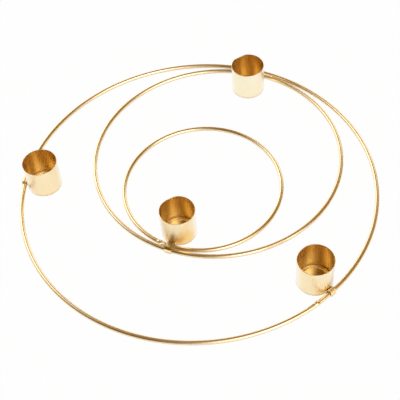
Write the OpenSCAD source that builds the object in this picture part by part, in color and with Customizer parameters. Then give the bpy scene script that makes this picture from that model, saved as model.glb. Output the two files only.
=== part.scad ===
// Advent candle holder: three wire hoops that lie flat on the table, each touching the next one,
// and four open cups for candles, each held to its hoop by a small strap bent over the wire.
// The origin is on the table, below the centre of the outer hoop. Z is up.
// Seen from the front, the near cup is at the lower right and the far cup behind.

/* [Hoops] */
// Radius of the outer hoop, to the middle of its wire
outer_hoop_r = 125; // [115:0.5:140]
// Widest clear space between the outer hoop and the middle one
middle_room = 65.1; // [57:0.1:75]
// Widest clear space between the middle hoop and the inner one
inner_room = 60.5; // [50:0.1:70]
// Diameter of the wire
wire_d = 3; // [2.4:0.1:3.4]
// Clearance between two hoops where they lie side by side
hoop_gap = 0.5; // [0.3:0.05:0.8]
// Direction from the outer hoop's centre to the place where the middle hoop meets it
middle_meet_angle = 60; // [50:1:70]
// Direction from the middle hoop's centre to the place where the inner hoop meets it
inner_meet_angle = -115; // [-125:1:-105]

/* [Cups] */
// Bore of a cup, for a candle of 22 mm
cup_bore_d = 23.6; // [22.6:0.1:24.6]
// Thickness of the cup's sheet
cup_wall = 0.4; // [0.3:0.05:0.6]
// Height of a cup
cup_h = 23.5; // [18:0.5:32]
// Outer radius of the bend round a cup's bottom edge
cup_bend_r = 1.1; // [0.8:0.1:1.6]
// Radius of the hole that the bottom lip of a cup leaves open
cup_lip_r = 10.2; // [9:0.1:10.4]
// Direction of the left cup, on the outer hoop
left_cup_angle = 170.5; // [160:0.5:178]
// Direction of the near cup, on the outer hoop
near_cup_angle = -51; // [-70:0.5:-40]
// Direction of the far cup, from the middle hoop's centre
far_cup_angle = 66.5; // [60:0.5:70]
// Direction of the centre cup, from the inner hoop's centre
centre_cup_angle = -117; // [-121:0.5:-111]

/* [Cup floors] */
// Thickness of a floor's sheet
floor_t = 0.4; // [0.3:0.05:0.6]
// Clearance between a floor and the cup round it
floor_gap = 0.25; // [0.15:0.05:0.4]

/* [Straps] */
// Width of a strap, along the wire
strap_w = 4.5; // [3.5:0.1:6]
// Thickness of a strap's sheet
strap_t = 0.4; // [0.3:0.05:0.6]
// Clearance between a strap and the wire inside it
strap_wire_gap = 0.2; // [0.15:0.05:0.3]
// Clearance between a strap and the cup's wall
strap_cup_gap = 0.05; // [0.05:0.05:0.3]
// Height of the middle of a strap's bend above the middle of the wire
strap_rise = 1.6; // [1:0.1:2.4]
// Height of a strap's lower edges above the table
strap_foot = 0.5; // [0.3:0.1:0.9]

/* [Joints between pieces] */
// Length of a fillet of braze along two hoops
braze_l = 11; // [8:0.5:14]
// Radius of the fillet of braze between two hoops
braze_r = 1.1; // [0.9:0.05:1.3]
// Radius of a drop of braze beside the centre cup's strap
drop_r = 1.15; // [0.9:0.05:1.3]
// Length of a drop of braze, along the groove between two hoops
drop_l = 1.3; // [1:0.1:2]
// Radius of the fillets of braze beside a strap
strap_fillet_r = 0.4; // [0.3:0.05:0.45]
// How much thicker than the wire a hoop's weld is, on the radius
weld_rise = 0.2; // [0.1:0.05:0.3]
// Length of the weld that joins the two ends of a hoop's wire
weld_l = 4; // [2:0.5:6]

/* [Hidden] */
$fn = 144;

// Overrun of every cut past the face that it goes through
cut = 1;
// Clearance of braze from the round faces that it joins
braze_gap = 0.05;

wire_r = wire_d / 2;
cup_bore_r = cup_bore_d / 2;
cup_r = cup_bore_r + cup_wall;

// Distance between the wires of two hoops that lie side by side
pair_pitch = wire_d + hoop_gap;
// Each hoop's centre is off its neighbour's by half of what the space between them grows
middle_offset = (middle_room - hoop_gap) / 2;
inner_offset = (inner_room - hoop_gap) / 2;
middle_hoop_r = outer_hoop_r - middle_offset - pair_pitch;
inner_hoop_r = middle_hoop_r - inner_offset - pair_pitch;
outer_centre = [0, 0];
middle_centre = outer_centre + middle_offset * [cos(middle_meet_angle), sin(middle_meet_angle)];
inner_centre = middle_centre + inner_offset * [cos(inner_meet_angle), sin(inner_meet_angle)];

// Distance from the middle of the wire to the inner and outer faces of a strap
strap_in = wire_r + strap_wire_gap;
strap_out = strap_in + strap_t;
// Distance from a cup's axis to the middle of the wire that it is strapped to
cup_seat = cup_r + strap_cup_gap + strap_out;

// Distance from the inner wire of a pair out to the other one, at an angle away from where they meet.
// radius is that of the inner hoop of the pair, and offset is the distance between the hoops' centres.
function pitch_at(radius, offset, away) =
    sqrt(pow(radius + offset + pair_pitch, 2) - pow(offset * sin(away), 2)) - offset * cos(away) - radius;
far_reach = pitch_at(middle_hoop_r, middle_offset, far_cup_angle - middle_meet_angle);
centre_reach = pitch_at(inner_hoop_r, inner_offset, centre_cup_angle - inner_meet_angle);

// The floor's rim lies on the flat of the cup's lip, and its middle passes through and stands on the table
floor_step = cup_wall;
floor_middle_r = cup_lip_r - floor_gap;
floor_flange_r = cup_r - cup_bend_r;

// Two drops of braze beside the centre cup's strap, by their distance from the strap's middle
drop_places = [strap_w / 2 + drop_l, strap_w / 2 + 2.5 * drop_l];

// Where each hoop's weld lies: a little to the left of a strap on that hoop, along the wire
near_weld_side = 13;
far_weld_side = 16;
centre_weld_side = strap_w / 2 + 3.25 * drop_l + weld_l / 2;
function arc_angle(length, radius) = length / radius * 180 / PI;
outer_weld_angle = near_cup_angle - arc_angle(near_weld_side, outer_hoop_r);
middle_weld_angle = far_cup_angle + arc_angle(far_weld_side, middle_hoop_r);
inner_weld_angle = centre_cup_angle - arc_angle(centre_weld_side, inner_hoop_r);

// The fillet behind the far cup starts beyond the strap
far_braze_angle = far_cup_angle - arc_angle(strap_w / 2 + braze_l / 2 + braze_r, middle_hoop_r);

// Hoops

// Part of a ring of round wire that lies on the table
module wire_arc(centre, radius, from_angle, span, thickness) {
    translate([centre.x, centre.y, thickness])
        rotate([0, 0, from_angle])
            rotate_extrude(angle = span)
                translate([radius, 0])
                    circle(thickness);
}

// A hoop is open where its weld is
module hoop(centre, radius, weld_angle) {
    weld_span = arc_angle(weld_l, radius);
    color("goldenrod")
        wire_arc(centre, radius, weld_angle + weld_span / 2, 360 - weld_span, wire_r);
}

// The weld fills the opening, flush underneath and a little thicker than the wire
module hoop_weld(centre, radius, weld_angle) {
    weld_span = arc_angle(weld_l, radius);
    color("gold")
        wire_arc(centre, radius, weld_angle - weld_span / 2, weld_span, wire_r + weld_rise);
}

// Cups and their floors, each on its own axis

// Half section of a cup's outside, from its axis, with its bottom edge rounded
module cup_half(radius, height, bend) {
    square([radius - bend, height]);
    translate([0, bend])
        square([radius, height - bend]);
    translate([radius - bend, bend])
        circle(bend);
}

module cup_shell() {
    color("goldenrod")
        rotate_extrude()
            difference() {
                cup_half(cup_r, cup_h, cup_bend_r);
                translate([0, cup_wall])
                    cup_half(cup_bore_r, cup_h, cup_bend_r - cup_wall);
                translate([0, -cut])
                    square([cup_lip_r, cup_h]);
            }
}

// A pressed disc: a rim that lies on the cup's lip, and a middle that is a step lower
module cup_floor() {
    color("darkgoldenrod")
        rotate_extrude() {
            square([floor_middle_r, floor_t]);
            translate([floor_middle_r - floor_t, 0])
                square([floor_t, floor_step + floor_t]);
            translate([floor_middle_r - floor_t, floor_step])
                square([floor_flange_r - floor_middle_r + floor_t, floor_t]);
        }
}

// Straps: x runs outwards from the middle of the wire, y is the height above it

// Section of what lies under a strap's outer or inner face, down to its feet
module strap_half(reach, face, drop) {
    translate([-face, -drop])
        square([reach + 2 * face, strap_rise + drop]);
    translate([0, strap_rise])
        circle(face);
    if (reach > 0) {
        translate([reach, strap_rise])
            circle(face);
        translate([0, strap_rise])
            square([reach, face]);
    }
}

// A strap over one wire, or over two when reach is the distance between them
module strap(centre, radius, angle, reach) {
    span = arc_angle(strap_w, radius);
    foot_drop = wire_r - strap_foot;
    color("gold")
        translate([centre.x, centre.y, wire_r])
            rotate([0, 0, angle - span / 2])
                rotate_extrude(angle = span)
                    translate([radius, 0])
                        difference() {
                            strap_half(reach, strap_out, foot_drop);
                            strap_half(reach, strap_in, foot_drop + cut);
                        }
}

// Places a cup's pieces on their axis, inside the hoop
module at_cup(centre, radius, angle) {
    translate([centre.x, centre.y, 0])
        rotate([0, 0, angle])
            translate([radius - cup_seat, 0, 0])
                children();
}

// Two fillets up the cup's wall, one at each edge of its strap
module strap_fillets() {
    fillet_low = strap_foot + strap_fillet_r;
    fillet_high = wire_r + strap_rise;
    color("gold")
        for (side = [-1, 1])
            difference() {
                translate([cup_r + strap_fillet_r / 8, side * (strap_w / 2 + strap_fillet_r / 4), 0]) {
                    translate([0, 0, fillet_low])
                        cylinder(h = fillet_high - fillet_low, r = strap_fillet_r);
                    translate([0, 0, fillet_low])
                        sphere(strap_fillet_r);
                    translate([0, 0, fillet_high])
                        sphere(strap_fillet_r);
                }
                translate([0, 0, -cut])
                    cylinder(h = cup_h + 2 * cut, r = cup_r + braze_gap);
                translate([cup_r, -(strap_w / 2 + braze_gap), 0])
                    cube([strap_out, strap_w + 2 * braze_gap, cup_h]);
            }
}

// Braze between two hoops that lie side by side

// Braze in the groove, which follows the inner hoop of the pair. Its section is a circle less the two
// wires, and rise is how far it stands above them.
module groove_fillet(centre, radius, pitch, angle, length, fillet_r, rise) {
    span = arc_angle(length, radius);
    translate([centre.x, centre.y, wire_r])
        rotate([0, 0, angle - span / 2])
            rotate_extrude(angle = span)
                translate([radius, 0])
                    difference() {
                        translate([pitch / 2, wire_r - fillet_r + rise])
                            circle(fillet_r);
                        for (x = [0, pitch])
                            translate([x, 0])
                                circle(wire_r + braze_gap);
                    }
}

module far_hoop_braze() {
    pitch = pitch_at(middle_hoop_r, middle_offset, far_braze_angle - middle_meet_angle);
    color("gold")
        groove_fillet(middle_centre, middle_hoop_r, pitch, far_braze_angle, braze_l, braze_r, 0);
}

module centre_hoop_braze() {
    color("gold")
        for (place = drop_places) {
            drop_angle = centre_cup_angle - arc_angle(place, inner_hoop_r);
            pitch = pitch_at(inner_hoop_r, inner_offset, drop_angle - inner_meet_angle);
            groove_fillet(inner_centre, inner_hoop_r, pitch, drop_angle, drop_l, drop_r, drop_r / 2);
        }
}

hoop(outer_centre, outer_hoop_r, outer_weld_angle);  // outer_hoop
hoop(middle_centre, middle_hoop_r, middle_weld_angle);  // middle_hoop
hoop(inner_centre, inner_hoop_r, inner_weld_angle);  // inner_hoop
hoop_weld(outer_centre, outer_hoop_r, outer_weld_angle);  // outer_hoop_weld
hoop_weld(middle_centre, middle_hoop_r, middle_weld_angle);  // middle_hoop_weld
hoop_weld(inner_centre, inner_hoop_r, inner_weld_angle);  // inner_hoop_weld
at_cup(outer_centre, outer_hoop_r, left_cup_angle) cup_shell();  // left_cup
at_cup(middle_centre, middle_hoop_r, far_cup_angle) cup_shell();  // far_cup
at_cup(inner_centre, inner_hoop_r, centre_cup_angle) cup_shell();  // centre_cup
at_cup(outer_centre, outer_hoop_r, near_cup_angle) cup_shell();  // near_cup
at_cup(outer_centre, outer_hoop_r, left_cup_angle) cup_floor();  // left_floor
at_cup(middle_centre, middle_hoop_r, far_cup_angle) cup_floor();  // far_floor
at_cup(inner_centre, inner_hoop_r, centre_cup_angle) cup_floor();  // centre_floor
at_cup(outer_centre, outer_hoop_r, near_cup_angle) cup_floor();  // near_floor
strap(outer_centre, outer_hoop_r, left_cup_angle, 0);  // left_strap
strap(middle_centre, middle_hoop_r, far_cup_angle, far_reach);  // far_strap
strap(inner_centre, inner_hoop_r, centre_cup_angle, centre_reach);  // centre_strap
strap(outer_centre, outer_hoop_r, near_cup_angle, 0);  // near_strap
at_cup(outer_centre, outer_hoop_r, left_cup_angle) strap_fillets();  // left_strap_braze
at_cup(middle_centre, middle_hoop_r, far_cup_angle) strap_fillets();  // far_strap_braze
at_cup(inner_centre, inner_hoop_r, centre_cup_angle) strap_fillets();  // centre_strap_braze
at_cup(outer_centre, outer_hoop_r, near_cup_angle) strap_fillets();  // near_strap_braze
far_hoop_braze();
centre_hoop_braze();
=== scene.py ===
"""Looks of an advent candle holder: three wire hoops on a table, with four candle cups on them."""
import logging
import math
from collections.abc import Callable
from dataclasses import dataclass, field, replace
from enum import Enum

import bpy
from bpy.types import Material, Node, NodeOutputs, NodeSocket, NodeTree, Object
from mathutils import Matrix, Vector


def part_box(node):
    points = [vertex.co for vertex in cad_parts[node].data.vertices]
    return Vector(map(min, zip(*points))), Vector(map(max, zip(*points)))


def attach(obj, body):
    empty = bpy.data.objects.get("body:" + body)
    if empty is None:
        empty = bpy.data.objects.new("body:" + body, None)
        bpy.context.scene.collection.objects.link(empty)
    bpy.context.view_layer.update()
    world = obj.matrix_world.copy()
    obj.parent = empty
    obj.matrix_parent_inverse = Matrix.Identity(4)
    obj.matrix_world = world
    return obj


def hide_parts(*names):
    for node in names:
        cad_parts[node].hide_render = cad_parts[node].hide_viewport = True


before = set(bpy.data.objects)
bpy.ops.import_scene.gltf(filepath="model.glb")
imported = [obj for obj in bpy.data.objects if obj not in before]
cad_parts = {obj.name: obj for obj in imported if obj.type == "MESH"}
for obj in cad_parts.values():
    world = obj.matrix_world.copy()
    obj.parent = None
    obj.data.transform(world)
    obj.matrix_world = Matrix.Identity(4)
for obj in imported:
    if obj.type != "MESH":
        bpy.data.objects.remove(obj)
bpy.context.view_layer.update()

MM = 0.001
BODY = "root"
FULL_TURN = 2 * math.pi
UP = (0.0, 0.0, 1.0)
WHITE = (1.0, 1.0, 1.0, 1.0)
MERGE_DISTANCE = 1e-7
NOISE_MIDDLE = 0.5

Tone = tuple[float, float, float, float]
Value = float | Tone | Vector | NodeSocket

log = logging.getLogger("candle_holder")


class Slot(Enum):
    """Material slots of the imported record."""

    HOOP_WIRE = "hoop_wire"
    CUP_SHEET = "cup_sheet"
    FLOOR_SHEET = "floor_sheet"
    STRAP_SHEET = "strap_sheet"
    FILLER_METAL = "filler_metal"


class Ray(Enum):
    """Outputs of Light Path that the floor and the world tell apart."""

    CAMERA = "Is Camera Ray"
    GLOSSY = "Is Glossy Ray"
    TRANSMISSION = "Is Transmission Ray"


class Socket(Enum):
    """Kinds of socket on an effect."""

    FLOAT = "NodeSocketFloat"
    VECTOR = "NodeSocketVector"
    COLOUR = "NodeSocketColor"


# Places in the plan

def polar(radius: float, angle: float, height: float = 0.0) -> Vector:
    """Point at a distance and an angle from the origin.

    Args:
        radius: distance from the origin, in metres.
        angle: direction in the plan, in radians.
        height: height above the table, in metres.

    Returns:
        The point.
    """
    return Vector((radius * math.cos(angle), radius * math.sin(angle), height))


def bearing(start: Vector, end: Vector) -> float:
    """Direction in the plan from one point to another, in radians."""
    return math.atan2(end.y - start.y, end.x - start.x)


# Work at the bench: edit-mode tools for one mesh at a time

def clear_bench() -> None:
    """Leaves edit mode and deselects everything."""
    if bpy.context.object and bpy.context.object.mode != "OBJECT":
        bpy.ops.object.mode_set(mode="OBJECT")
    bpy.ops.object.select_all(action="DESELECT")


def take_up(piece: Object) -> None:
    """Makes one piece the only selected and the active one.

    Args:
        piece: the piece to work on.
    """
    clear_bench()
    piece.select_set(True)
    bpy.context.view_layer.objects.active = piece


def name_new(name: str) -> Object:
    """Names the object just added and puts its place into its mesh.

    Args:
        name: name of the piece.

    Returns:
        The object, at the origin and unturned.
    """
    piece = bpy.context.object
    piece.name = name
    piece.data.name = name
    bpy.ops.object.transform_apply(location=True, rotation=True, scale=True)
    return piece


def draw_line(name: str, points: list[Vector]) -> Object:
    """Draws an open line of edges, one extrusion after another.

    Args:
        name: name of the piece that the line becomes.
        points: the corners of the line.

    Returns:
        The object, in edit mode, with the whole line selected.
    """
    clear_bench()
    bpy.ops.mesh.primitive_plane_add(size=2 * MM, location=(0, 0, 0))
    piece = name_new(name)
    bpy.ops.object.mode_set(mode="EDIT")
    bpy.ops.mesh.select_all(action="SELECT")
    bpy.ops.mesh.merge(type="CENTER")
    bpy.ops.transform.translate(value=points[0])
    for last, point in zip(points, points[1:]):
        bpy.ops.mesh.extrude_vertices_move(TRANSFORM_OT_translate={"value": tuple(point - last)})
    bpy.ops.mesh.select_all(action="SELECT")
    return piece


def draw_round(name: str, centre: Vector, radius: float, facing: float, sides: int) -> Object:
    """Draws the round section of a wire, standing upright.

    Args:
        name: name of the piece that the section becomes.
        centre: middle of the section.
        radius: radius of the wire.
        facing: direction in the plan from the hoop's centre to the section, in radians.
        sides: number of corners.

    Returns:
        The object, in edit mode, with the section selected.
    """
    clear_bench()
    bpy.ops.mesh.primitive_circle_add(
        vertices=sides, radius=radius, location=centre, rotation=(math.pi / 2, 0, facing)
    )
    piece = name_new(name)
    bpy.ops.object.mode_set(mode="EDIT")
    bpy.ops.mesh.select_all(action="SELECT")
    return piece


def spin(centre: Vector, angle: float, steps: int) -> None:
    """Spins what is selected round an upright axis and welds the seam.

    Blender's own angle runs clockwise from above, so its sign is turned.

    Args:
        centre: a point on the axis.
        angle: how far to spin, counter-clockwise from above, in radians.
        steps: number of copies on the way.
    """
    bpy.ops.mesh.spin(steps=steps, angle=-angle, center=centre, axis=UP)
    bpy.ops.mesh.select_all(action="SELECT")
    bpy.ops.mesh.remove_doubles(threshold=MERGE_DISTANCE)


def face_outwards() -> None:
    """Merges doubles, turns all faces outwards and leaves edit mode."""
    bpy.ops.mesh.select_all(action="SELECT")
    bpy.ops.mesh.remove_doubles(threshold=MERGE_DISTANCE)
    bpy.ops.mesh.normals_make_consistent(inside=False)
    bpy.ops.object.mode_set(mode="OBJECT")


def apply_modifier(piece: Object, kind: str, **settings: object) -> None:
    """Adds a modifier with its settings and applies it.

    Args:
        piece: the piece to change.
        kind: Blender's name of the modifier.
        **settings: values of the modifier's own properties.
    """
    take_up(piece)
    modifier = piece.modifiers.new(kind.title(), kind)
    for key, value in settings.items():
        setattr(modifier, key, value)
    bpy.ops.object.modifier_apply(modifier=modifier.name)


def round_edges(piece: Object, width: float, over: float) -> None:
    """Rounds the edges sharper than an angle in degrees, to a width."""
    limit = math.radians(over)
    apply_modifier(piece, "BEVEL", width=width, segments=3, limit_method="ANGLE", angle_limit=limit)


def shade(piece: Object, sharp_over: float = 40.0) -> None:
    """Shades a piece smooth, but for edges sharper than an angle in degrees."""
    take_up(piece)
    bpy.ops.object.shade_smooth_by_angle(angle=math.radians(sharp_over))


def select_where(piece: Object, chosen: Callable[[Vector], bool]) -> int:
    """Selects the points of a mesh that a test picks, and goes to edit mode.

    Args:
        piece: the piece.
        chosen: function from a point's place to True or False.

    Returns:
        The number of points picked.
    """
    take_up(piece)
    bpy.ops.object.mode_set(mode="EDIT")
    bpy.ops.mesh.select_mode(type="VERT")
    bpy.ops.mesh.select_all(action="DESELECT")
    bpy.ops.object.mode_set(mode="OBJECT")
    count = 0
    for point in piece.data.vertices:
        point.select = bool(chosen(point.co))
        count += point.select
    bpy.ops.object.mode_set(mode="EDIT")
    return count


@dataclass(frozen=True)
class Nudge:
    """A push on a spot of a piece that fades out round it, as a thumb leaves."""

    spot: Vector
    push: Vector
    reach: float
    grip: float

    def press(self, piece: Object) -> None:
        """Moves the points near the spot, and those round them less.

        Args:
            piece: the piece to push.
        """
        if select_where(piece, lambda place: (place - self.spot).length < self.grip):
            bpy.ops.transform.translate(
                value=self.push,
                use_proportional_edit=True,
                proportional_edit_falloff="SMOOTH",
                proportional_size=self.reach,
            )
        bpy.ops.object.mode_set(mode="OBJECT")


# Node work shared by the finishes and the studio

class Wiring:
    """Adds nodes to one node tree and joins them."""

    def __init__(self, tree: NodeTree) -> None:
        """Keeps the node tree to work in."""
        self.tree = tree

    def feed(self, socket: NodeSocket, value: Value) -> None:
        """Joins a socket to an input, or sets the input's value.

        Args:
            socket: the input.
            value: the other socket or the value.
        """
        if isinstance(value, NodeSocket):
            self.tree.links.new(value, socket)
        else:
            socket.default_value = value

    def add(self, kind: str, inputs: dict[str | int, Value] | None = None, **settings: object) -> Node:
        """Adds a node.

        Args:
            kind: Blender's name of the node.
            inputs: values or sockets for its inputs, by name or number.
            **settings: values of the node's own properties.

        Returns:
            The node.
        """
        node = self.tree.nodes.new(kind)
        for key, value in settings.items():
            setattr(node, key, value)
        for key, value in (inputs or {}).items():
            self.feed(node.inputs[key], value)
        return node

    def sum(self, operation: str, *values: Value) -> NodeSocket:
        """Adds a Math node that works on numbers or sockets in order, and gives its result."""
        node = self.add("ShaderNodeMath", dict(enumerate(values)), operation=operation)
        return node.outputs[0]

    def flat_length(self, parts: NodeOutputs) -> NodeSocket:
        """Adds the length in the plan of a vector, from its separated parts."""
        squares = [self.sum("MULTIPLY", parts[axis], parts[axis]) for axis in ("X", "Y")]
        return self.sum("SQRT", self.sum("ADD", *squares))

    def likeness(self, first: Value, second: Value) -> NodeSocket:
        """Adds the cosine of the angle between two directions."""
        node = self.add("ShaderNodeVectorMath", {0: first, 1: second}, operation="DOT_PRODUCT")
        return node.outputs["Value"]

    def ramp(self, value: Value, low: float, high: float, start: float, end: float) -> NodeSocket:
        """Maps a range of values smoothly to another.

        Args:
            value: the number or socket to map.
            low: lower end of its range.
            high: upper end of its range.
            start: result at the lower end.
            end: result at the upper end.

        Returns:
            The result.
        """
        node = self.add(
            "ShaderNodeMapRange",
            {"Value": value, "From Min": low, "From Max": high, "To Min": start, "To Max": end},
            interpolation_type="SMOOTHSTEP",
        )
        return node.outputs[0]

    def noise(self, vector: NodeSocket, scale: Value, detail: float = 2.0) -> NodeSocket:
        """Adds noise with values from about 0 to 1, where detail counts its finer layers."""
        node = self.add("ShaderNodeTexNoise", {"Vector": vector, "Scale": scale, "Detail": detail})
        return node.outputs["Fac"]

    def mix(self, share: Value, first: Value, second: Value) -> NodeSocket:
        """Mixes two colours.

        Args:
            share: share of the second one.
            first: the first colour.
            second: the second colour.

        Returns:
            The colour.
        """
        node = self.add("ShaderNodeMix", {"Factor": share}, data_type="RGBA")
        sockets = [socket for socket in node.inputs if socket.type == "RGBA"]
        for socket, value in zip(sockets, (first, second)):
            self.feed(socket, value)
        return next(socket for socket in node.outputs if socket.type == "RGBA")


class Effect:
    """A shader node group with named inputs and outputs, built once."""

    def __init__(self, name: str, inputs: dict[str, Socket], outputs: dict[str, Socket]) -> None:
        """Makes the group and its sockets.

        Args:
            name: name of the group.
            inputs: kind of each input.
            outputs: kind of each output.
        """
        self.tree = bpy.data.node_groups.new(name, "ShaderNodeTree")
        for side, sockets in (("INPUT", inputs), ("OUTPUT", outputs)):
            for key, kind in sockets.items():
                self.tree.interface.new_socket(name=key, in_out=side, socket_type=kind.value)
        self.wiring = Wiring(self.tree)
        self.given = self.wiring.add("NodeGroupInput").outputs

    def close(self, results: dict[str, NodeSocket]) -> None:
        """Joins the results to the group's outputs, by name."""
        self.wiring.add("NodeGroupOutput", results)

    def place(self, w: Wiring, inputs: dict[str, Value]) -> NodeOutputs:
        """Places the effect in a material and gives its outputs by name."""
        return w.add("ShaderNodeGroup", inputs, node_tree=self.tree).outputs


def make_round_wire() -> Effect:
    """Builds coordinates that follow a wire bent to a ring: along it and round it.

    Returns:
        The effect.
    """
    effect = Effect(
        "round_wire", {"Place": Socket.VECTOR, "Ring Radius": Socket.FLOAT}, {"Along": Socket.VECTOR}
    )
    wire_radius = 1.5 * MM
    w, given = effect.wiring, effect.given
    parts = w.add("ShaderNodeSeparateXYZ", {"Vector": given["Place"]}).outputs
    turn = w.sum("ARCTAN2", parts["Y"], parts["X"])
    out = w.sum("SUBTRACT", w.flat_length(parts), given["Ring Radius"])
    roll = w.sum("ARCTAN2", parts["Z"], w.sum("MULTIPLY", out, -1.0))
    along = w.add("ShaderNodeCombineXYZ", {
        "X": w.sum("MULTIPLY", turn, given["Ring Radius"]),
        "Y": w.sum("MULTIPLY", roll, wire_radius),
    })
    effect.close({"Along": along.outputs[0]})
    return effect


def make_round_sleeve() -> Effect:
    """Builds coordinates that follow a sleeve, a mask of its inside and the distance from its axis.

    Returns:
        The effect.
    """
    effect = Effect(
        "round_sleeve",
        {"Place": Socket.VECTOR, "Wall Radius": Socket.FLOAT},
        {"Round": Socket.VECTOR, "Inside": Socket.FLOAT, "Distance": Socket.FLOAT},
    )
    w, given = effect.wiring, effect.given
    parts = w.add("ShaderNodeSeparateXYZ", {"Vector": given["Place"]}).outputs
    distance = w.flat_length(parts)
    turn = w.sum("ARCTAN2", parts["Y"], parts["X"])
    wrap = w.add("ShaderNodeCombineXYZ", {
        "X": w.sum("MULTIPLY", turn, given["Wall Radius"]),
        "Y": parts["Z"],
        "Z": distance,
    })
    inside = w.sum("LESS_THAN", distance, given["Wall Radius"])
    effect.close({"Round": wrap.outputs[0], "Inside": inside, "Distance": distance})
    return effect


def make_drawn_lines() -> Effect:
    """Builds the fine lines that drawing or rolling leaves along a metal.

    Returns:
        The effect.
    """
    effect = Effect(
        "drawn_lines",
        {"Along": Socket.VECTOR, "Fineness": Socket.FLOAT, "Stretch": Socket.FLOAT},
        {"Lines": Socket.FLOAT},
    )
    w, given = effect.wiring, effect.given
    parts = w.add("ShaderNodeSeparateXYZ", {"Vector": given["Along"]}).outputs
    pulled = w.add("ShaderNodeCombineXYZ", {
        "X": w.sum("MULTIPLY", parts["X"], given["Stretch"]),
        "Y": parts["Y"],
        "Z": parts["Z"],
    })
    effect.close({"Lines": w.noise(pulled.outputs[0], given["Fineness"], detail=3.0)})
    return effect


def make_plating() -> Effect:
    """Builds the colour of gold plating: soft patches between two tones, and faint mottling.

    Returns:
        The effect.
    """
    effect = Effect(
        "plating",
        {
            "Place": Socket.VECTOR,
            "Pale": Socket.COLOUR,
            "Deep": Socket.COLOUR,
            "Patch Scale": Socket.FLOAT,
            "Mottle Scale": Socket.FLOAT,
        },
        {"Colour": Socket.COLOUR, "Mottle": Socket.FLOAT},
    )
    patch_range, patch_share = (0.32, 0.68), 0.75
    mottle_range, mottle_share = (0.3, 0.7), 0.25
    w, given = effect.wiring, effect.given
    patches = w.noise(given["Place"], given["Patch Scale"], detail=3.0)
    patches = w.ramp(patches, *patch_range, 0.0, 1.0)
    mottle = w.ramp(w.noise(given["Place"], given["Mottle Scale"]), *mottle_range, 0.0, 1.0)
    share = w.sum("ADD", w.sum("MULTIPLY", patches, patch_share), w.sum("MULTIPLY", mottle, mottle_share))
    effect.close({"Colour": w.mix(share, given["Pale"], given["Deep"]), "Mottle": mottle})
    return effect


def make_edge_highlight() -> Effect:
    """Builds a mask of painted edge highlights: edges to be painted paler, broken up by noise.

    Returns:
        The effect.
    """
    effect = Effect("painted_edge_highlight", {"Place": Socket.VECTOR, "Width": Socket.FLOAT}, {"Glint": Socket.FLOAT})
    edge_range = (0.75, 0.995)
    break_scale, break_range, least_glint = 700.0, (0.3, 0.6), 0.25
    w, given = effect.wiring, effect.given
    # Painted highlight: edges, found where a bevelled normal parts from the real one, are marked to be
    # painted paler.
    rounded = w.add("ShaderNodeBevel", {"Radius": given["Width"]}, samples=8).outputs[0]
    real = w.add("ShaderNodeNewGeometry").outputs["Normal"]
    edge = w.ramp(w.likeness(rounded, real), *edge_range, 1.0, 0.0)
    breaks = w.noise(given["Place"], break_scale, detail=3.0)
    breaks = w.ramp(breaks, *break_range, least_glint, 1.0)
    effect.close({"Glint": w.sum("MULTIPLY", edge, breaks)})
    return effect


def make_heat_tint() -> Effect:
    """Builds a mask of the place round a spot where the torch has coloured the metal.

    Returns:
        The effect.
    """
    effect = Effect(
        "heat_tint",
        {"Place": Socket.VECTOR, "Spot": Socket.VECTOR, "Reach": Socket.FLOAT},
        {"Heated": Socket.FLOAT},
    )
    full_share = 0.35
    break_scale, raggedness = 260.0, 0.7
    w, given = effect.wiring, effect.given
    ends = {0: given["Place"], 1: given["Spot"]}
    away = w.add("ShaderNodeVectorMath", ends, operation="DISTANCE").outputs["Value"]
    breaks = w.sum("SUBTRACT", w.noise(given["Place"], break_scale), NOISE_MIDDLE)
    share = w.sum("ADD", w.sum("DIVIDE", away, given["Reach"]), w.sum("MULTIPLY", breaks, raggedness))
    effect.close({"Heated": w.ramp(share, full_share, 1.0, 1.0, 0.0)})
    return effect


class Effects:
    """The effects that all finishes share, each built once."""

    def __init__(self) -> None:
        """Builds the node groups."""
        self.wire = make_round_wire()
        self.sleeve = make_round_sleeve()
        self.lines = make_drawn_lines()
        self.plating = make_plating()
        self.edge_highlight = make_edge_highlight()
        self.heat = make_heat_tint()


# The gold finishes

@dataclass(frozen=True)
class Gold:
    """Tones and gloss of one gold finish, with other tones and gloss inside a sleeve, and the tones of its
    painted shade, highlights and sheen.
    """

    pale: Tone = (0.97, 0.84, 0.57, 1.0)
    deep: Tone = (0.95, 0.79, 0.49, 1.0)
    # Painted shade: deeper tones inside a sleeve stand in for the shade in the cup's hollow.
    inner_pale: Tone = (0.97, 0.75, 0.35, 1.0)
    inner_deep: Tone = (0.95, 0.69, 0.26, 1.0)
    heated: Tone = (0.97, 0.66, 0.22, 1.0)
    heated_share: float = 0.8
    # Painted highlight: a paler tone on a band round the floor's crown.
    painted_highlight_band: Tone = (0.98, 0.85, 0.60, 1.0)
    band_blur: float = 0.15 * MM
    band_dulling: float = 0.1
    # Painted highlight: a paler tone painted on rounded edges.
    edge_glint: Tone = (0.98, 0.90, 0.68, 1.0)
    edge_glint_share: float = 0.5
    edge_glint_width: float = 0.25 * MM
    # Painted sheen: a pale cream that the colour turns to toward the silhouette, where the surface faces
    # away from the camera.
    grazing_sheen: Tone = (1.0, 0.97, 0.88, 1.0)
    grazing_sheen_share: float = 0.0
    grazing_sheen_range: tuple[float, float] = (0.5, 0.85)
    gloss: float = 0.22
    inner_gloss: float = 0.34
    gloss_spread: float = 0.02
    patch_scale: float = 60.0
    mottle_scale: float = 350.0
    line_fineness: float = 5000.0
    line_stretch: float = 0.03
    line_depth: float = 0.0001 * MM


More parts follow.
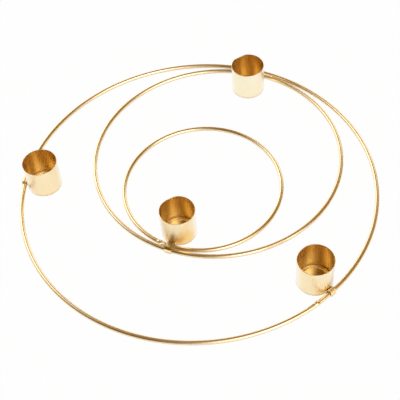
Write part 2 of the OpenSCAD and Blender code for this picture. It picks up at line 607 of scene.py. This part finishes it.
WIRE_GOLD = Gold(pale=(0.97, 0.84, 0.53, 1.0), deep=(0.95, 0.78, 0.45, 1.0), gloss=0.3, edge_glint_width=0.0)
WELD_GOLD = replace(
    WIRE_GOLD, gloss=0.34, mottle_scale=1500.0,
    line_depth=0.002 * MM, line_fineness=700.0, line_stretch=1.0,
)
BRAZE_GOLD = Gold(
    pale=(0.98, 0.91, 0.74, 1.0), deep=(0.97, 0.87, 0.64, 1.0), gloss=0.34, mottle_scale=1500.0,
    line_depth=0.003 * MM, line_fineness=700.0, line_stretch=1.0,
)
# The cups take the painted sheen toward their silhouettes.
CUP_GOLD = Gold(
    pale=(0.97, 0.83, 0.55, 1.0), deep=(0.97, 0.78, 0.48, 1.0), gloss=0.38, grazing_sheen_share=0.85,
    patch_scale=40.0, line_fineness=2500.0, line_stretch=0.02, line_depth=0.0,
)
# Painted light: a paler copy of the cup gold for the far cup, standing in for the brighter light on its
# outside.
LIT_FAR_CUP_GOLD = replace(CUP_GOLD, pale=(0.98, 0.90, 0.68, 1.0), deep=(0.98, 0.87, 0.61, 1.0))
FLOOR_GOLD = Gold(
    inner_pale=(0.96, 0.83, 0.53, 1.0), inner_deep=(0.95, 0.78, 0.45, 1.0), inner_gloss=0.22
)
STRAP_GOLD = Gold(
    pale=(0.98, 0.82, 0.47, 1.0), deep=(0.97, 0.77, 0.39, 1.0), gloss=0.42,
    inner_pale=(0.95, 0.77, 0.45, 1.0), inner_deep=(0.93, 0.71, 0.37, 1.0), inner_gloss=0.42,
)
BRIGHT_STRAP_GOLD = replace(STRAP_GOLD, gloss=0.18)


@dataclass
class Skin:
    """What a finish starts from, as values or sockets."""

    along: NodeSocket
    pale: Value
    deep: Value
    gloss: Value
    sheen_share: Value


@dataclass(frozen=True)
class Metal:
    """A gold finish on a piece, that follows a wire, a sleeve or neither."""

    name: str
    gold: Gold
    effects: Effects
    centre: Vector
    ring_radius: float = 0.0
    sleeve_radius: float = 0.0
    highlight_band: tuple[float, float] | None = None
    spot: Vector | None = None
    spot_reach: float = 0.0

    def make(self) -> Material:
        """Builds the material.

        Returns:
            The material.
        """
        material = bpy.data.materials.new(self.name)
        material.use_nodes = True
        material.node_tree.nodes.clear()
        w = Wiring(material.node_tree)
        place = w.add("ShaderNodeMapping", {
            "Vector": w.add("ShaderNodeTexCoord").outputs["Object"],
            "Location": tuple(-self.centre),
        }).outputs[0]
        gold, effects = self.gold, self.effects
        skin = Skin(place, gold.pale, gold.deep, gold.gloss, gold.grazing_sheen_share)
        if self.ring_radius:
            skin.along = effects.wire.place(w, {"Place": place, "Ring Radius": self.ring_radius})["Along"]
        if self.sleeve_radius:
            self.follow_sleeve(w, skin)
        plating = effects.plating.place(w, {
            "Place": place, "Pale": skin.pale, "Deep": skin.deep,
            "Patch Scale": gold.patch_scale, "Mottle Scale": gold.mottle_scale,
        })
        lines = effects.lines.place(w, {
            "Along": skin.along, "Fineness": gold.line_fineness, "Stretch": gold.line_stretch,
        })["Lines"]
        rough = skin.gloss
        for pattern in (plating["Mottle"], lines):
            spread = w.sum("MULTIPLY", w.sum("SUBTRACT", pattern, NOISE_MIDDLE), gold.gloss_spread)
            rough = w.sum("ADD", rough, spread)
        colour = self.age(w, place, plating["Colour"])
        # Painted sheen: toward the silhouette the colour turns to the pale cream tone.
        facing = w.add("ShaderNodeLayerWeight", {"Blend": 0.5}).outputs["Facing"]
        painted_sheen = w.sum("MULTIPLY", w.ramp(facing, *gold.grazing_sheen_range, 0.0, 1.0), skin.sheen_share)
        height = w.sum("MULTIPLY", lines, gold.line_depth)
        bump = w.add("ShaderNodeBump", {"Height": height, "Strength": 1.0, "Distance": 1.0})
        shader = w.add("ShaderNodeBsdfPrincipled", {
            "Base Color": w.mix(painted_sheen, colour, gold.grazing_sheen),
            "Metallic": 1.0,
            "Roughness": rough,
            "Normal": bump.outputs[0],
        })
        w.add("ShaderNodeOutputMaterial", {"Surface": shader.outputs[0]})
        return material

    def dress(self, piece: Object, slot: Slot, *nodes: str) -> None:
        """Gives a piece the finish and puts it in place of its CAD nodes.

        Args:
            piece: the piece.
            slot: material slot of the record; not used.
            *nodes: CAD nodes that the piece stands for.
        """
        clear_bench()
        piece.data.materials.clear()
        piece.data.materials.append(self.make())
        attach(piece, BODY)
        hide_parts(*nodes)
        log.info("%s: %d faces, stands for %s", piece.name, len(piece.data.polygons), ", ".join(nodes))

    def follow_sleeve(self, w: Wiring, skin: Skin) -> None:
        """Follows a sleeve, with deeper tones inside it that paint the hollow's shade, and a paler band
        round it that paints a highlight.

        Args:
            w: wiring of the material.
            skin: start of the finish, which is changed.
        """
        gold = self.gold
        sleeve = self.effects.sleeve.place(w, {"Place": skin.along, "Wall Radius": self.sleeve_radius})
        inside = sleeve["Inside"]
        skin.along = sleeve["Round"]
        # Painted shade: inside the sleeve the deeper inner tones are used.
        skin.pale = w.mix(inside, gold.pale, gold.inner_pale)
        skin.deep = w.mix(inside, gold.deep, gold.inner_deep)
        skin.gloss = w.ramp(inside, 0.0, 1.0, gold.gloss, gold.inner_gloss)
        skin.sheen_share = w.ramp(inside, 0.0, 1.0, gold.grazing_sheen_share, 0.0)
        if self.highlight_band:
            # Painted highlight: the band over the crown is painted paler.
            painted_highlight_band = w.sum("MULTIPLY", *(
                w.ramp(sleeve["Distance"], edge - gold.band_blur, edge + gold.band_blur, start, end)
                for edge, start, end in zip(self.highlight_band, (0.0, 1.0), (1.0, 0.0))
            ))
            skin.pale = w.mix(painted_highlight_band, skin.pale, gold.painted_highlight_band)
            skin.deep = w.mix(painted_highlight_band, skin.deep, gold.painted_highlight_band)
            skin.gloss = w.sum("ADD", skin.gloss, w.sum("MULTIPLY", painted_highlight_band, gold.band_dulling))

    def age(self, w: Wiring, place: NodeSocket, colour: NodeSocket) -> NodeSocket:
        """Adds painted edge highlights and the torch's tint to the plating's colour.

        Args:
            w: wiring of the material.
            place: coordinates from the piece's centre.
            colour: the plating's colour.

        Returns:
            The colour.
        """
        gold = self.gold
        # Painted highlight: edges painted paler.
        if gold.edge_glint_width:
            edge_glint = self.effects.edge_highlight.place(w, {"Place": place, "Width": gold.edge_glint_width})["Glint"]
            colour = w.mix(w.sum("MULTIPLY", edge_glint, gold.edge_glint_share), colour, gold.edge_glint)
        if self.spot is not None:
            heated = self.effects.heat.place(w, {
                "Place": place, "Spot": tuple(self.spot - self.centre), "Reach": self.spot_reach,
            })["Heated"]
            colour = w.mix(w.sum("MULTIPLY", heated, gold.heated_share), colour, gold.heated)
        return colour


# The holder's own pieces

@dataclass
class Hoop:
    """A hoop of round wire with the weld that joins its ends."""

    name: str
    effects: Effects
    weld_angle: float
    wire_gold: Gold = WIRE_GOLD
    weld_gold: Gold = WELD_GOLD
    sides: int = 28
    step: float = 1.2 * MM
    weld_length: float = 4 * MM
    weld_overlap: float = 1.15
    weld_rings: int = 16
    weld_rise: float = 0.2 * MM
    weld_ripple: float = 0.05
    ripple_turn: float = 2.3
    section_slack: float = 0.06 * MM

    def __post_init__(self) -> None:
        """Takes the hoop's place and size from its CAD node."""
        low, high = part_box(self.name)
        self.wire_radius = (high.z - low.z) / 2
        self.centre = (low + high) / 2
        self.radius = (high.x - low.x) / 2 - self.wire_radius

    def build(self) -> None:
        """Builds and dresses the wire and its weld."""
        self.build_wire()
        self.build_weld()

    def on_ring(self, angle: float) -> Vector:
        """Point at the middle of the wire, at an angle in radians."""
        return self.centre + polar(self.radius, angle)

    def run_wire(self, name: str, start: float, reach: float, rings: int) -> Object:
        """Spins the wire's section along the hoop and closes its ends.

        Args:
            name: name of the piece.
            start: angle of its first end, in radians.
            reach: angle from its first end to its last, in radians.
            rings: number of steps between the ends.

        Returns:
            The piece, facing outwards.
        """
        piece = draw_round(name, self.on_ring(start), self.wire_radius, start, self.sides)
        spin(self.centre, reach, rings)
        bpy.ops.mesh.fill_holes(sides=0)
        face_outwards()
        return piece

    def dress(self, piece: Object, slot: Slot, gold: Gold, node: str) -> None:
        """Shades a piece of the wire and gives it a finish that follows the wire.

        Args:
            piece: the piece.
            slot: material slot of the record.
            gold: tones and gloss.
            node: CAD node that the piece stands for.
        """
        shade(piece)
        finish = Metal(node + "_gold", gold, self.effects, self.centre, ring_radius=self.radius)
        finish.dress(piece, slot, node)

    def build_wire(self) -> None:
        """Spins the wire round the hoop, from one end to the other."""
        gap = self.weld_length / self.radius
        span = FULL_TURN - gap
        rings = round(span * self.radius / self.step)
        piece = self.run_wire(self.name + "_wire", self.weld_angle + gap / 2, span, rings)
        self.dress(piece, Slot.HOOP_WIRE, self.wire_gold, self.name)

    def build_weld(self) -> None:
        """Spins a short piece of the wire over its ends and swells all but its underside."""
        node = self.name + "_weld"
        reach = self.weld_length * self.weld_overlap / self.radius
        start = self.weld_angle - reach / 2
        piece = self.run_wire(node + "_bead", start, reach, self.weld_rings)
        for ring in range(1, self.weld_rings):
            share = ring / self.weld_rings
            angle = start + reach * share
            middle = self.on_ring(angle)
            across = polar(1, angle + math.pi / 2)
            ripple = 1 + self.weld_ripple * math.sin(self.ripple_turn * ring)
            rise = self.weld_rise * math.sin(math.pi * share) ** 2 * ripple
            swell = 1 + rise / self.wire_radius
            found = select_where(piece, lambda place: (
                abs((place - middle).dot(across)) < self.section_slack
                and (place - middle).length < 2 * self.wire_radius
            ))
            if found:
                under = middle - Vector((0, 0, self.wire_radius))
                bpy.ops.transform.resize(value=(swell, swell, swell), center_override=under)
            bpy.ops.object.mode_set(mode="OBJECT")
        self.dress(piece, Slot.FILLER_METAL, self.weld_gold, node)

    def wire_beyond(self, inner: "Hoop", angle: float) -> float:
        """Distance from a smaller hoop's wire out to this hoop's wire.

        Args:
            inner: the smaller hoop inside this one.
            angle: direction from the smaller hoop's centre, in radians.

        Returns:
            The distance, in metres.
        """
        off = inner.centre - self.centre
        along = off.x * math.cos(angle) + off.y * math.sin(angle)
        away = off.x * off.x + off.y * off.y - along * along
        return math.sqrt(self.radius ** 2 - away) - along - inner.radius

    def groove(self, inner: "Hoop", angle: float, lift: float) -> Vector:
        """Point between a smaller hoop's wire and this one's, at a lift above their middle."""
        away = inner.radius + self.wire_beyond(inner, angle) / 2
        return Vector((*inner.centre.xy, 0)) + polar(away, angle, inner.wire_radius + lift)


@dataclass(frozen=True)
class Dent:
    """A shallow dent in a cup's rim: its angle in degrees, its depth and how far it reaches."""

    angle: float
    drop: float
    reach: float


@dataclass(frozen=True)
class Tint:
    """Heat tint on a cup: degrees on from its strap, height and how far it reaches."""

    turn: float = 25.0
    height: float = 2.5 * MM
    reach: float = 6 * MM


@dataclass
class Cup:
    """A candle cup with its floor, its strap over the wire and the braze beside it."""

    place: str
    hoop: Hoop
    effects: Effects
    beyond: Hoop | None = None
    dents: tuple[Dent, ...] = ()
    tint: Tint = Tint()
    cup_gold: Gold = CUP_GOLD
    floor_gold: Gold = FLOOR_GOLD
    strap_gold: Gold = STRAP_GOLD
    braze_gold: Gold = BRAZE_GOLD
    sides: int = 128
    wall: float = 0.4 * MM
    wall_shares: tuple[float, ...] = (0.12, 0.25, 0.4, 0.55, 0.7, 0.82, 0.9, 0.96, 1.0)
    bend: float = 1.1 * MM
    bend_corners: int = 6
    lip_radius: float = 10.2 * MM
    rim_rounding: float = 0.12 * MM
    dent_grip: float = 0.6 * MM
    floor_gap: float = 0.25 * MM
    floor_shares: tuple[float, ...] = (0.0, 0.5, 0.85)
    floor_rounding: float = 0.1 * MM
    crown: float = 0.45 * MM
    crown_width: float = 1.0 * MM
    crown_corners: int = 8
    strap_width: float = 4.5 * MM
    strap_steps: int = 8
    strap_sheet: float = 0.4 * MM
    strap_inside: float = 1.7 * MM
    strap_rise: float = 1.6 * MM
    strap_foot: float = 0.5 * MM
    strap_corners: int = 8
    strap_rounding: float = 0.09 * MM
    fillet: float = 0.4 * MM
    bead_sides: int = 12
    bead_rings: int = 9
    bead_end: float = 0.4
    bead_swell: float = 0.75
    bead_ripple: float = 0.12
    ripple_turn: float = 2.1

    def __post_init__(self) -> None:
        """Takes the cup's place and size from its CAD node."""
        low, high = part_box(self.place + "_cup")
        middle = (low + high) / 2
        self.centre = Vector((middle.x, middle.y, 0))
        self.radius = (high.x - low.x) / 2
        self.height = high.z
        self.angle = bearing(self.hoop.centre, self.centre)

    def build(self) -> None:
        """Builds and dresses the cup's pieces."""
        self.build_sleeve()
        self.build_floor()
        self.build_strap()
        self.build_braze()

    def turned(self, name: str, profile: list[tuple[float, float]]) -> Object:
        """Turns a profile round the cup's axis and gives the sheet its thickness.

        Args:
            name: name of the piece.
            profile: distance from the axis and height of each point.

        Returns:
            The piece.
        """
        piece = draw_line(name, [self.centre + Vector((far, 0, high)) for far, high in profile])
        spin(self.centre, FULL_TURN, self.sides)
        face_outwards()
        apply_modifier(piece, "SOLIDIFY", thickness=self.wall, offset=0.0)
        return piece

    def build_sleeve(self) -> None:
        """Turns the wall with its rounded lower edge and its lip, and rounds and dents its rim."""
        half = self.wall / 2
        bend = self.bend - half
        middle = self.radius - self.bend
        profile = [(self.lip_radius, half), (middle, half)]
        for corner in range(1, self.bend_corners + 1):
            turn = math.pi / 2 * corner / self.bend_corners
            profile.append((middle + bend * math.sin(turn), self.bend - bend * math.cos(turn)))
        rise = self.height - self.bend
        profile += [(self.radius - half, self.bend + rise * share) for share in self.wall_shares]
        piece = self.turned(self.place + "_sleeve", profile)
        for dent in self.dents:
            spot = self.centre + polar(self.radius - half, math.radians(dent.angle), self.height)
            Nudge(spot, Vector((0, 0, -dent.drop)), dent.reach, self.dent_grip).press(piece)
        round_edges(piece, self.rim_rounding, 50)
        shade(piece)
        turn = self.angle + math.radians(self.tint.turn)
        Metal(
            self.place + "_sleeve_gold", self.cup_gold, self.effects, self.centre,
            sleeve_radius=self.radius - half, spot_reach=self.tint.reach,
            spot=self.centre + polar(self.radius, turn, self.tint.height),
        ).dress(piece, Slot.CUP_SHEET, self.place + "_cup")

    def build_floor(self) -> None:
        """Presses the floor: a crown on the cup's lip, and a middle that is a step lower."""
        half = self.wall / 2
        edge = self.lip_radius - self.floor_gap - half
        profile = [(edge * share, half) for share in self.floor_shares]
        profile += [(edge - half, half), (edge, 2 * half), (edge + half, 3 * half)]
        for corner in range(1, self.crown_corners + 1):
            share = corner / self.crown_corners
            rise = self.crown * math.sin(math.pi * share)
            profile.append((edge + half + self.crown_width * share, 3 * half + rise))
        profile.append((self.radius - self.bend, 3 * half))
        piece = self.turned(self.place + "_pan", profile)
        round_edges(piece, self.floor_rounding, 60)
        shade(piece)
        Metal(
            self.place + "_pan_gold", self.floor_gold, self.effects, self.centre,
            # The band over the crown takes a painted highlight.
            sleeve_radius=self.radius, highlight_band=(edge, edge + half + self.crown_width),
        ).dress(piece, Slot.FLOOR_SHEET, self.place + "_floor")

    def strap_line(self) -> list[tuple[float, float]]:
        """Line of the strap's middle over its wires.

        Returns:
            Distance out from the first wire's middle and height above it, of each point.
        """
        reach = self.beyond.wire_beyond(self.hoop, self.angle) if self.beyond else 0.0
        across = self.strap_inside + self.strap_sheet / 2
        foot = self.strap_foot - self.hoop.wire_radius
        line = [(-across, foot), (-across, 0.0), (-across, self.strap_rise)]
        for corner in range(1, self.strap_corners):
            turn = math.pi * corner / self.strap_corners
            shift = reach if corner > self.strap_corners / 2 else 0.0
            high = self.strap_rise + across * math.sin(turn)
            line.append((shift - across * math.cos(turn), high))
            if reach and corner == self.strap_corners // 2:
                line.append((reach, self.strap_rise + across))
        return line + [(reach + across, high) for high in (self.strap_rise, 0.0, foot)]

    def build_strap(self) -> None:
        """Bends the strip over the wires: its line is spun a short way along the hoop."""
        reach = self.strap_width / self.hoop.radius
        ring = self.hoop.centre.copy()
        points = [
            ring + polar(self.hoop.radius + out, self.angle - reach / 2, high)
            for out, high in self.strap_line()
        ]
        piece = draw_line(self.place + "_clip", points)
        spin(ring, reach, self.strap_steps)
        face_outwards()
        apply_modifier(piece, "SOLIDIFY", thickness=self.strap_sheet, offset=0.0, use_even_offset=True)
        round_edges(piece, self.strap_rounding, 50)
        apply_modifier(piece, "SUBSURF", levels=1, render_levels=1)
        shade(piece)
        Metal(
            self.place + "_clip_gold", self.strap_gold, self.effects, self.centre,
            sleeve_radius=self.radius,
        ).dress(piece, Slot.STRAP_SHEET, self.place + "_strap")

    def build_braze(self) -> None:
        """Runs a bead of braze up the wall at each edge of the strap."""
        clear_bench()
        low = self.strap_foot
        high = self.hoop.wire_radius + self.strap_rise + self.fillet
        rise = (high - low) / self.bead_rings
        piece = None
        for side in (-1, 1):
            foot = self.centre + Matrix.Rotation(self.angle, 3, "Z") @ Vector(
                (self.radius, side * (self.strap_width + self.fillet) / 2, low)
            )
            if piece:
                bpy.ops.mesh.select_all(action="DESELECT")
            bpy.ops.mesh.primitive_circle_add(
                vertices=self.bead_sides, radius=self.fillet * self.bead_end, location=foot
            )
            if not piece:
                piece = name_new(self.place + "_bead")
                bpy.ops.object.mode_set(mode="EDIT")
            self.pull_bead(foot, rise, side)
        bpy.ops.mesh.select_all(action="SELECT")
        bpy.ops.mesh.fill_holes(sides=0)
        face_outwards()
        apply_modifier(piece, "SUBSURF", levels=1, render_levels=1)
        shade(piece, 80)
        finish = Metal(self.place + "_bead_gold", self.braze_gold, self.effects, self.centre)
        finish.dress(piece, Slot.FILLER_METAL, self.place + "_strap_braze")

    def pull_bead(self, foot: Vector, rise: float, phase: float) -> None:
        """Draws the selected round up in rings that swell and shrink as molten metal does.

        Args:
            foot: middle of the round.
            rise: height of one ring.
            phase: start of the ripple, in radians.
        """
        centre = foot.copy()
        width = self.bead_end
        for ring in range(1, self.bead_rings + 1):
            swell = self.bead_swell * math.sin(math.pi * ring / self.bead_rings) ** 0.5
            ripple = self.bead_ripple * math.sin(self.ripple_turn * ring + phase)
            wanted = self.bead_end + swell + ripple
            bpy.ops.mesh.extrude_region_move(TRANSFORM_OT_translate={"value": (0, 0, rise)})
            centre.z += rise
            scale = wanted / width
            bpy.ops.transform.resize(value=(scale, scale, 1), center_override=centre)
            width = wanted


@dataclass(frozen=True)
class Drop:
    """A drop of braze: its angle in degrees, its lift over the wires' middle and its radius."""

    angle: float
    lift: float
    radius: float


FAR_DROPS = tuple(
    Drop(60.8 + side, 0.35 * MM, (0.95 + 0.1 * math.sin(3 * side)) * MM)
    for side in (-3.2, -2.4, -1.6, -0.8, 0, 0.8, 1.6, 2.4, 3.2)
)
CENTRE_DROPS = (
    Drop(-120.6, 0.7 * MM, 1.75 * MM),
    Drop(-122.8, 0.8 * MM, 1.6 * MM),
    Drop(-121.4, 1.7 * MM, 1.1 * MM),
    Drop(-119.6, 1.6 * MM, 0.8 * MM),
    Drop(-124.4, 0.9 * MM, 0.9 * MM),
)


@dataclass
class Lump:
    """Braze that joins two hoops: round drops that have run together."""

    node: str
    hoop: Hoop
    beyond: Hoop
    effects: Effects
    drops: tuple[Drop, ...]
    gold: Gold = BRAZE_GOLD
    voxel: float = 0.11 * MM
    smooth_share: float = 0.5
    smooth_rounds: int = 6

    def build(self) -> None:
        """Joins the drops, closes them into one skin and smooths it."""
        clear_bench()
        places = [self.beyond.groove(self.hoop, math.radians(drop.angle), drop.lift) for drop in self.drops]
        piece = None
        for place, drop in zip(places, self.drops):
            bpy.ops.mesh.primitive_ico_sphere_add(subdivisions=3, radius=drop.radius, location=place)
            if not piece:
                piece = name_new(self.node + "_lump")
                bpy.ops.object.mode_set(mode="EDIT")
        face_outwards()
        apply_modifier(piece, "REMESH", mode="VOXEL", voxel_size=self.voxel)
        apply_modifier(piece, "SMOOTH", factor=self.smooth_share, iterations=self.smooth_rounds)
        shade(piece, 80)
        finish = Metal(self.node + "_gold", self.gold, self.effects, places[0])
        finish.dress(piece, Slot.FILLER_METAL, self.node)


# The studio

@dataclass(frozen=True)
class Panel:
    """A soft light panel of the studio, as a spot on the sky, with its angles in degrees."""

    azimuth: float
    elevation: float
    core: float
    fade: float
    strength: float

    def direction(self) -> Vector:
        """Direction from the object to the panel."""
        height = math.radians(self.elevation)
        return polar(math.cos(height), math.radians(self.azimuth), math.sin(height))


@dataclass
class Studio:
    """The floor, the light and the camera."""

    floor_size: float = 8.0
    floor_drop: float = 0.02 * MM
    floor_cuts: int = 4
    floor_tone: Tone = (0.97, 0.97, 0.97, 1.0)
    floor_glow: float = 0.975
    contact_range: tuple[float, float] = (0.1 * MM, 4 * MM)
    sky_low: Tone = (0.29, 0.145, 0.02, 1.0)
    sky_high: Tone = (0.29, 0.14, 0.018, 1.0)
    dusk_azimuth: float = -145.0
    dusk_height: float = 0.5
    dusk_range: tuple[float, float] = (0.1, 0.85)
    dusk_depth: float = 0.5
    panel_tone: Tone = (0.98, 1.0, 1.1, 1.0)
    panels: tuple[Panel, ...] = (
        Panel(150, 36, 6, 24, 1.5),
        Panel(-60, 24, 12, 38, 2.3),
        Panel(60, 25, 4, 24, 1.6),
        Panel(120, 0, 12, 40, 1.8),
        Panel(-60, 60, 4, 28, 0.75),
    )
    lamp_power: float = 2.0
    lamp_size: float = 1.0
    lamp_away: float = 0.9
    lamp_azimuth: float = 150.0
    lamp_height: float = 0.8
    lens: float = 81.306
    sensor: float = 36.0
    aim: Vector = field(default_factory=lambda: Vector((0.58, -11.64, 1.74)) * MM)
    distance: float = 631.4 * MM
    tilt: float = math.radians(51.10)
    roll: float = math.radians(-5.40)

    def build(self) -> None:
        """Builds the floor, the world, the lamp and the camera."""
        self.build_floor()
        self.build_world()
        self.build_lamp()
        self.build_camera()

    def build_floor(self) -> None:
        """Lays the pale floor that metal shows too and that keeps the holder's shadow."""
        clear_bench()
        bpy.ops.mesh.primitive_plane_add(size=self.floor_size, location=(0, 0, 0))
        floor = name_new("studio_floor")
        bpy.ops.object.mode_set(mode="EDIT")
        bpy.ops.mesh.select_all(action="SELECT")
        bpy.ops.transform.translate(value=(0, 0, -self.floor_drop))
        bpy.ops.mesh.subdivide(number_cuts=self.floor_cuts)
        bpy.ops.object.mode_set(mode="OBJECT")
        material = bpy.data.materials.new("studio_paper")
        material.use_nodes = True
        material.node_tree.nodes.clear()
        w = Wiring(material.node_tree)
        light = w.add("ShaderNodeLightPath").outputs
        in_metal = w.sum("MAXIMUM", light[Ray.GLOSSY.value], light[Ray.TRANSMISSION.value])
        beyond = w.ramp(light["Ray Length"], *self.contact_range, 0.0, 1.0)
        share = w.sum(
            "MAXIMUM",
            w.sum("MULTIPLY", light[Ray.CAMERA.value], self.floor_glow),
            w.sum("MULTIPLY", in_metal, beyond),
        )
        paper = w.add("ShaderNodeBsdfDiffuse", {"Color": self.floor_tone})
        glow = w.add("ShaderNodeEmission", {"Color": WHITE, "Strength": 1.0})
        both = w.add("ShaderNodeMixShader", {0: share, 1: paper.outputs[0], 2: glow.outputs[0]})
        w.add("ShaderNodeOutputMaterial", {"Surface": both.outputs[0]})
        floor.data.materials.append(material)
        log.info("studio floor laid")

    def build_world(self) -> None:
        """Paints the studio's soft panels on the sky, and white where the camera sees it."""
        world = bpy.data.worlds.new("studio_sky")
        bpy.context.scene.world = world
        world.use_nodes = True
        world.node_tree.nodes.clear()
        w = Wiring(world.node_tree)
        direction = w.add("ShaderNodeTexCoord").outputs["Generated"]
        height = w.add("ShaderNodeSeparateXYZ", {"Vector": direction}).outputs["Z"]
        light: Value = 0.0
        for panel in self.panels:
            fade, core = (math.cos(math.radians(angle)) for angle in (panel.fade, panel.core))
            near = w.likeness(direction, panel.direction())
            light = w.sum("ADD", light, w.ramp(near, fade, core, 0.0, panel.strength))
        darkest = polar(1.0, math.radians(self.dusk_azimuth), self.dusk_height).normalized()
        toward = w.likeness(direction, darkest)
        dim = w.add("ShaderNodeBackground", {
            "Color": w.mix(w.ramp(height, 0.0, 1.0, 0.0, 1.0), self.sky_low, self.sky_high),
            "Strength": w.ramp(toward, *self.dusk_range, 1.0, self.dusk_depth),
        })
        lit = w.add("ShaderNodeBackground", {"Color": self.panel_tone, "Strength": light})
        sky = w.add("ShaderNodeAddShader", {0: dim.outputs[0], 1: lit.outputs[0]})
        white = w.add("ShaderNodeBackground", {"Color": WHITE, "Strength": 1.0})
        seen = w.add("ShaderNodeLightPath").outputs[Ray.CAMERA.value]
        both = w.add("ShaderNodeMixShader", {0: seen, 1: sky.outputs[0], 2: white.outputs[0]})
        w.add("ShaderNodeOutputWorld", {"Surface": both.outputs[0]})
        log.info("studio sky painted")

    def build_lamp(self) -> None:
        """Hangs a wide lamp over the holder for its soft shadow."""
        data = bpy.data.lights.new("studio_lamp", "AREA")
        data.shape = "DISK"
        data.size = self.lamp_size
        data.energy = self.lamp_power
        lamp = bpy.data.objects.new("studio_lamp", data)
        bpy.context.scene.collection.objects.link(lamp)
        lamp.location = polar(self.lamp_away, math.radians(self.lamp_azimuth), self.lamp_height)
        lamp.rotation_euler = lamp.location.to_track_quat("Z", "Y").to_euler()
        log.info("lamp hung")

    def build_camera(self) -> None:
        """Sets the camera at the photograph's viewing angle."""
        data = bpy.data.cameras.new("studio_camera")
        data.lens = self.lens
        data.sensor_width = self.sensor
        camera = bpy.data.objects.new("studio_camera", data)
        bpy.context.scene.collection.objects.link(camera)
        ahead = Vector((0, math.cos(self.tilt), -math.sin(self.tilt)))
        level = Vector((1, 0, 0))
        above = level.cross(ahead)
        right = level * math.cos(self.roll) + above * math.sin(self.roll)
        top = above * math.cos(self.roll) - level * math.sin(self.roll)
        turn = Matrix((right, top, -ahead)).transposed().to_4x4()
        camera.matrix_world = Matrix.Translation(self.aim - ahead * self.distance) @ turn
        bpy.context.scene.camera = camera
        log.info("camera set")


def main() -> None:
    """Builds the holder piece by piece, and the studio round it."""
    logging.basicConfig(level=logging.INFO, format="%(name)s: %(message)s")
    bpy.context.scene.view_settings.view_transform = "Standard"
    effects = Effects()
    outer = Hoop("outer_hoop", effects, weld_angle=math.radians(-56.96))
    middle = Hoop("middle_hoop", effects, weld_angle=math.radians(76.8))
    inner = Hoop("inner_hoop", effects, weld_angle=math.radians(-125.7))
    cups = (
        Cup("left", outer, effects),
        Cup(
            "far", middle, effects, beyond=outer, cup_gold=LIT_FAR_CUP_GOLD,
            dents=(Dent(116, 1.0 * MM, 6 * MM),),
        ),
        Cup(
            "centre", inner, effects, beyond=middle, strap_gold=BRIGHT_STRAP_GOLD,
            dents=(Dent(119, 0.8 * MM, 8 * MM),), tint=Tint(50.0, 5 * MM, 11 * MM),
        ),
        Cup(
            "near", outer, effects,
            dents=(Dent(140, 0.8 * MM, 7 * MM),), tint=Tint(-27.0, 3 * MM, 6 * MM),
        ),
    )
    lumps = (
        Lump("far_hoop_braze", middle, outer, effects, FAR_DROPS),
        Lump("centre_hoop_braze", inner, middle, effects, CENTRE_DROPS),
    )
    for part in (outer, middle, inner, *cups, *lumps):
        part.build()
    Studio().build()


if __name__ == "__main__":
    main()
